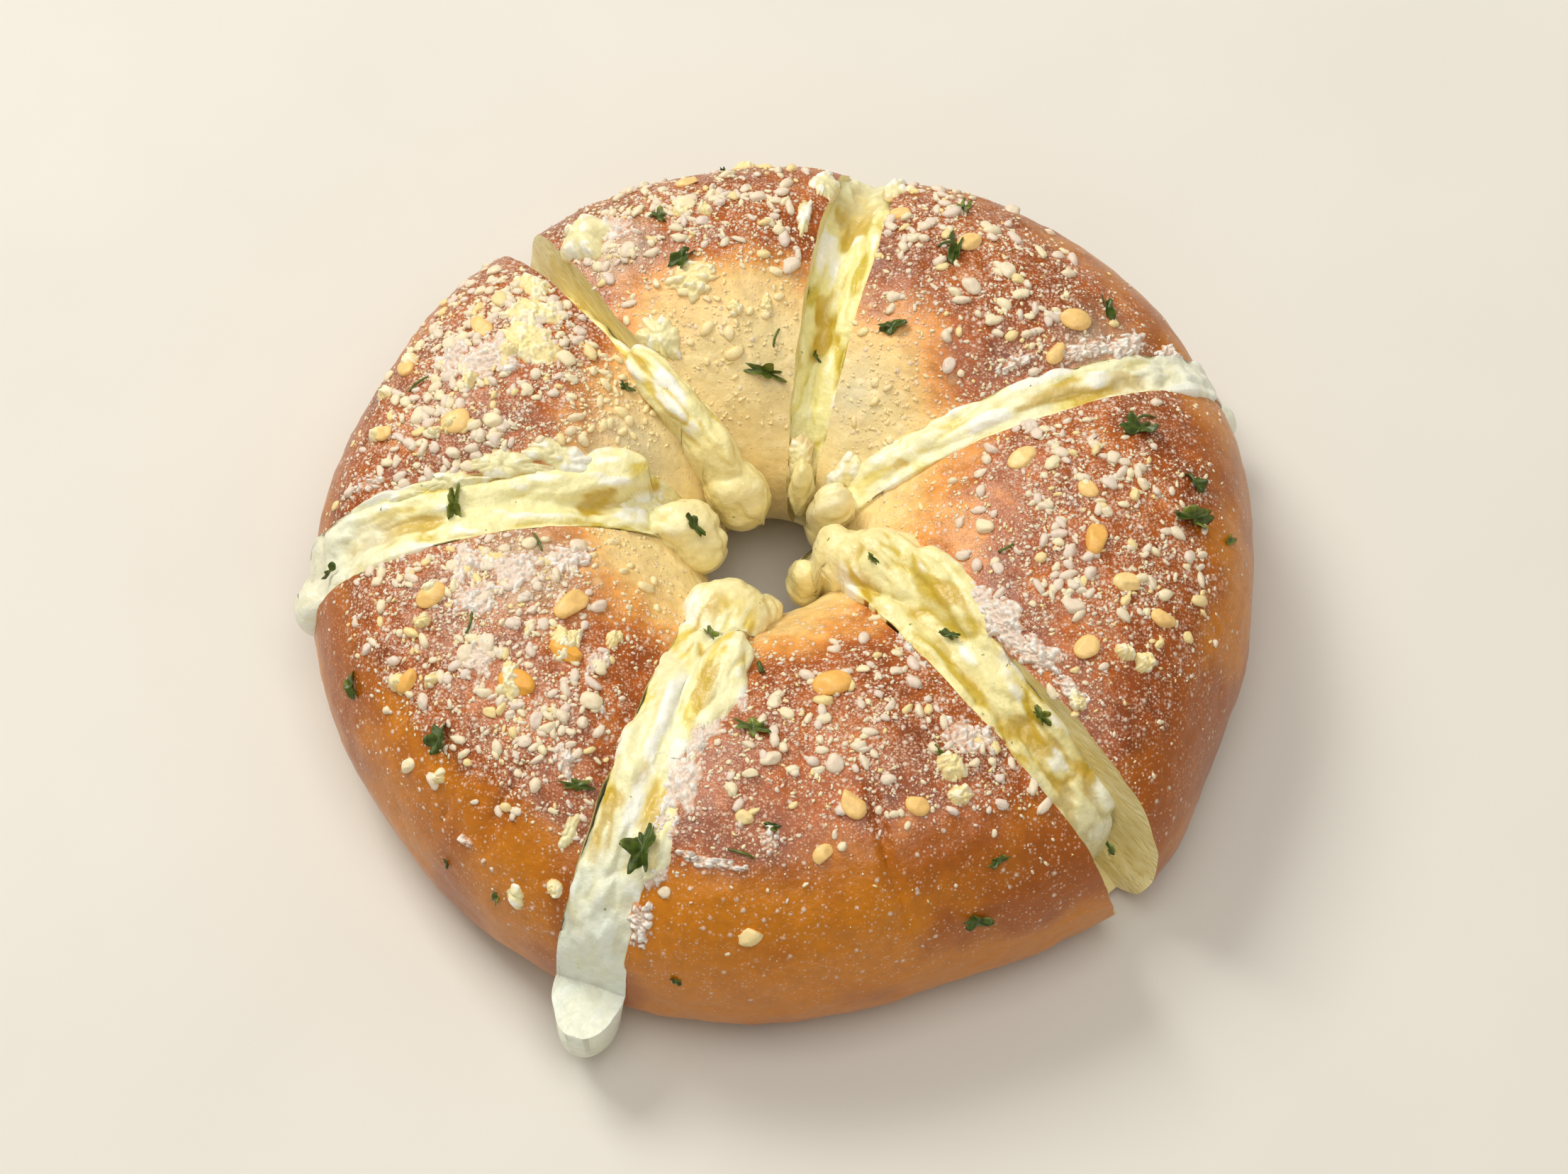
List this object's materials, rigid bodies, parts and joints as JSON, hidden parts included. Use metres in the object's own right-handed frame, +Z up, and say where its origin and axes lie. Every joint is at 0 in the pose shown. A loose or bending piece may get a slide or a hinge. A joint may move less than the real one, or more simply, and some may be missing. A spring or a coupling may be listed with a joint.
{
  "type": "garlic cream cheese bagel",
  "caption": "Baked ring roll cut into wedges that hold together at the base, with cream cheese in each cut and grated cheese, garlic bits and parsley on the crust.",
  "frame": {"origin": "bottom centre of the bounding box, on the plane of the flat underside that the roll rests on", "axes": "+Z up through the hole, +Y towards the cut at the back of the picture, +X to the picture's right"},
  "size_m": [0.123, 0.1206, 0.0339],
  "materials": {
    "crust": "satin",
    "cream": "moist"
  },
  "bodies": {
    "root": {"bread": "crust", "cream_1": "cream", "cream_2": "cream", "cream_3": "cream", "cream_4": "cream", "cream_5": "cream", "cream_6": "cream"}
  },
  "joints": []
}
